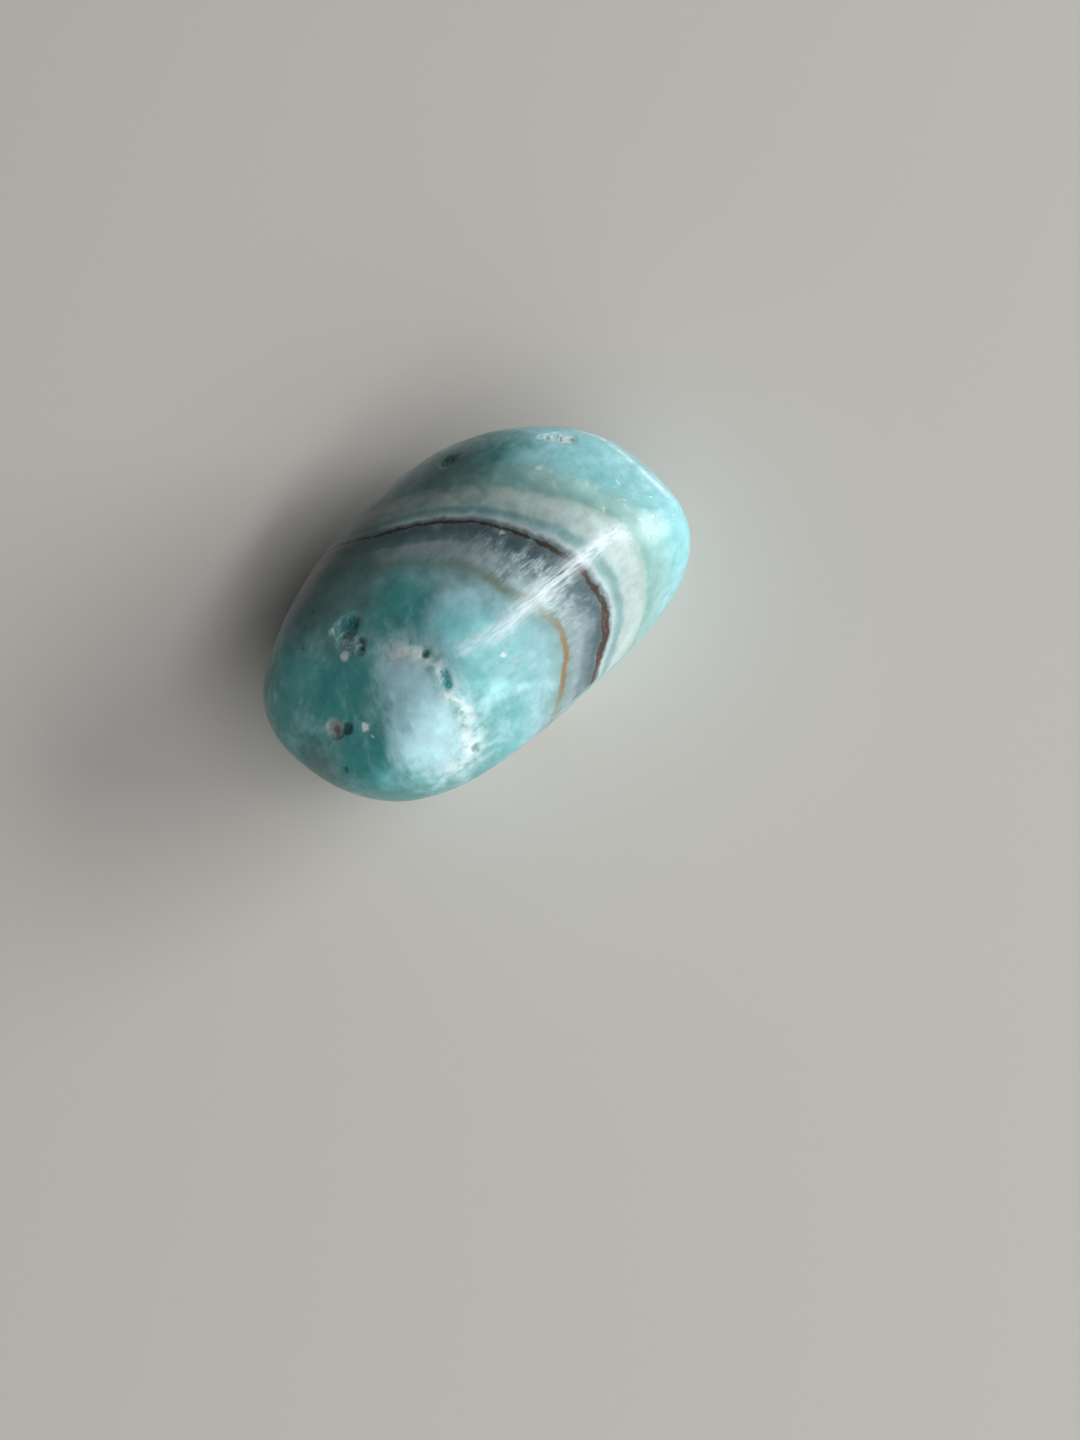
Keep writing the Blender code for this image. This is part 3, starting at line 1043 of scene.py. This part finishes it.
def add_dirt_shade_and_glints(tree, groups, point, colour):
    """Dirt, bruises, painted shade and painted glints in and around the hollows, and single dots."""
    crooked = crook(tree, point, *TINT_CROOK)
    for centre, radius, strength, tint in DIRT_SHADE_AND_GLINTS.values():
        mask = multiply(tree, spot(tree, groups, crooked, centre, radius), strength)
        # Some of these are painted shade in the hollows and painted glints on their lit walls.
        colour = blend(tree, ease(tree, mask, *TINT_STEP), colour, tint)
    return colour


def add_mottle(tree, point, colour):
    """Fine lighter and darker mottling all over."""
    mottle = calculate(tree, "MULTIPLY_ADD", grain(tree, point, *MOTTLE_GRAIN), *MOTTLE)
    shade = add_node(tree, "ShaderNodeCombineColor", {"Red": mottle, "Green": mottle, "Blue": mottle})
    return blend(tree, 1.0, colour, shade.outputs["Color"], mode="MULTIPLY")


def make_colours_group(groups):
    """All the stone's colours at a point, with the masks of its crystals and of its worn crest, where a
    highlight is painted too.
    """
    tree, source, result = new_group(
        "aragonite_colours",
        (("Point", "NodeSocketVector"),),
        (("Color", "NodeSocketColor"), ("Crystals", "NodeSocketFloat"), ("Crest", "NodeSocketFloat")),
    )
    point = source.outputs["Point"]
    distance = place_group(tree, groups["growth"], {"Point": point}).outputs["Distance"]
    colour = place_group(tree, groups["layers"], {"Distance": distance}).outputs["Color"]
    colour = add_milk(tree, groups, point, distance, colour)
    colour = add_needles(tree, groups, point, distance, colour)
    colour = add_patches(tree, groups, point, colour)
    colour = add_rusty_lines(tree, groups, point, distance, colour)
    colour = add_foot_skin(tree, groups, point, colour)
    colour, crystals = add_vein(tree, groups, point, colour)
    colour, crest = add_crest_wear_and_highlight(tree, groups, point, colour)
    colour = add_specks(tree, groups, point, colour)
    colour = add_dirt_shade_and_glints(tree, groups, point, colour)
    colour = add_mottle(tree, point, colour)
    for name, socket in (("Color", colour), ("Crystals", crystals), ("Crest", crest)):
        tree.links.new(socket, result.inputs[name])
    return tree


def make_groups():
    """The node groups that the two materials share."""
    groups = {"spot": make_spot_group(), "stroke": make_stroke_group(), "fibres": make_fibre_group()}
    groups["growth"] = make_growth_group(groups)
    groups["layers"] = make_layers_group()
    groups["colours"] = make_colours_group(groups)
    return groups


def new_material(name):
    """A new material, its node tree and its shader."""
    material = bpy.data.materials.new(name)
    material.use_nodes = True
    tree = material.node_tree
    return material, tree, tree.nodes["Principled BSDF"]


def place_colours(tree, groups):
    """The point in millimetres, and the group with the stone's colours there."""
    place = add_node(tree, "ShaderNodeTexCoord").outputs["Object"]
    point = scale_vector(tree, place, 1.0 / MM)
    return point, place_group(tree, groups["colours"], {"Point": point}).outputs


def add_bump(tree, shader, height, strength, distance):
    """Bump on the shader's normal."""
    bump = add_node(tree, "ShaderNodeBump", {"Height": height, "Strength": strength, "Distance": distance})
    tree.links.new(bump.outputs["Normal"], shader.inputs["Normal"])


def set_glow(shader, weight, scale):
    """Light that passes under the stone's surface."""
    shader.inputs["Subsurface Weight"].default_value = weight
    shader.inputs["Subsurface Radius"].default_value = GLOW_REACH
    shader.inputs["Subsurface Scale"].default_value = scale


def make_broken_material(groups):
    """Unpolished broken crystal inside the pits and chips."""
    material, tree, shader = new_material("broken_aragonite_crystal")
    point, colours = place_colours(tree, groups)
    grit = grain(tree, point, *BROKEN_GRAIN)
    shade = blend(tree, ease(tree, grit, *BROKEN_STEP), BROKEN_DARK, BROKEN_LIGHT)
    colour = blend(tree, 1.0, colours["Color"], shade, mode="MULTIPLY")
    tree.links.new(colour, shader.inputs["Base Color"])
    inputs = {"Vector": point, "Scale": BROKEN_CELLS}
    cells = add_node(tree, "ShaderNodeTexVoronoi", inputs).outputs["Distance"]
    add_bump(tree, shader, calculate(tree, "ADD", cells, grit), *BROKEN_BUMP)
    shader.inputs["Roughness"].default_value = BROKEN_ROUGHNESS
    set_glow(shader, *BROKEN_GLOW)
    return material


def make_aragonite_material(groups):
    """Polished blue aragonite, duller on its crystals and along its needles."""
    material, tree, shader = new_material("polished_blue_aragonite")
    point, colours = place_colours(tree, groups)
    tree.links.new(colours["Color"], shader.inputs["Base Color"])
    crystals = colours["Crystals"]
    needles = fibres(tree, groups, point, *POLISH_NEEDLES)
    rough = calculate(tree, "MULTIPLY_ADD", needles, NEEDLE_ROUGHNESS, POLISH_ROUGHNESS)
    rough = calculate(tree, "MULTIPLY_ADD", colours["Crest"], CREST_ROUGHNESS, rough)
    rough = calculate(tree, "MULTIPLY_ADD", crystals, CRYSTAL_ROUGHNESS, rough)
    tree.links.new(rough, shader.inputs["Roughness"])
    grit = multiply(tree, grain(tree, point, *CRYSTAL_GRAIN), crystals)
    relief = calculate(tree, "MULTIPLY_ADD", grit, CRYSTAL_RELIEF, needles)
    add_bump(tree, shader, relief, *POLISH_BUMP)
    shader.inputs["Specular IOR Level"].default_value = POLISH_SPECULAR
    set_glow(shader, *POLISH_GLOW)
    return material


def make_floor():
    """A plain pale floor."""
    keep_out_all()
    bpy.ops.mesh.primitive_plane_add(size=FLOOR_WIDTH, location=(0.0, 0.0, 0.0))
    floor = bpy.context.object
    floor.name = "floor"
    material, _, shader = new_material("pale_floor")
    shader.inputs["Base Color"].default_value = opaque(FLOOR_COLOUR)
    shader.inputs["Roughness"].default_value = FLOOR_ROUGHNESS
    floor.data.materials.append(material)


def make_lights():
    """Soft studio lights, all turned to the stone's foot and unseen by the camera."""
    for name, (azimuth, elevation, away, width, height, power) in LIGHTS.items():
        data = bpy.data.lights.new(name, "AREA")
        data.shape = "RECTANGLE"
        data.size = width
        data.size_y = height
        data.energy = power
        data.color = LIGHT_COLOUR
        light = bpy.data.objects.new(name, data)
        bpy.context.collection.objects.link(light)
        light.visible_camera = False
        flat = math.cos(math.radians(elevation))
        toward = Vector((
            flat * math.cos(math.radians(azimuth)),
            flat * math.sin(math.radians(azimuth)),
            math.sin(math.radians(elevation)),
        ))
        light.location = toward * away
        light.rotation_euler = toward.to_track_quat("Z", "Y").to_euler()


def make_sky():
    """A weak even sky, and a pale backdrop that only the camera sees."""
    world = bpy.data.worlds.new("sky")
    world.use_nodes = True
    tree = world.node_tree
    sky = tree.nodes["Background"]
    sky.inputs["Color"].default_value = opaque(SKY_COLOUR)
    sky.inputs["Strength"].default_value = SKY_STRENGTH
    backdrop = add_node(tree, "ShaderNodeBackground", {"Color": opaque(BACKDROP_COLOUR)})
    seen = add_node(tree, "ShaderNodeLightPath").outputs["Is Camera Ray"]
    mixed = add_node(tree, "ShaderNodeMixShader", {0: seen, 1: sky.outputs[0], 2: backdrop.outputs[0]})
    tree.links.new(mixed.outputs[0], tree.nodes["World Output"].inputs["Surface"])
    bpy.context.scene.world = world


def make_camera():
    """The camera at the photograph's place and angle."""
    data = bpy.data.cameras.new("camera")
    data.lens = CAMERA_LENS
    data.sensor_width = CAMERA_FILM
    data.clip_start = CAMERA_NEAREST
    camera = bpy.data.objects.new("camera", data)
    bpy.context.collection.objects.link(camera)
    right = Vector(CAMERA_RIGHT).normalized()
    up = Vector(CAMERA_UP).normalized()
    turn = Matrix((right, up, right.cross(up))).transposed()
    camera.matrix_world = Matrix.Translation(CAMERA_PLACE) @ turn.to_4x4()
    bpy.context.scene.camera = camera
    bpy.context.scene.view_settings.view_transform = "Standard"


make_camera()
make_lights()
make_sky()
make_floor()
stone = make_stone(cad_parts["aragonite_stone"])
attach(stone, "root")
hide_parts("aragonite_stone")
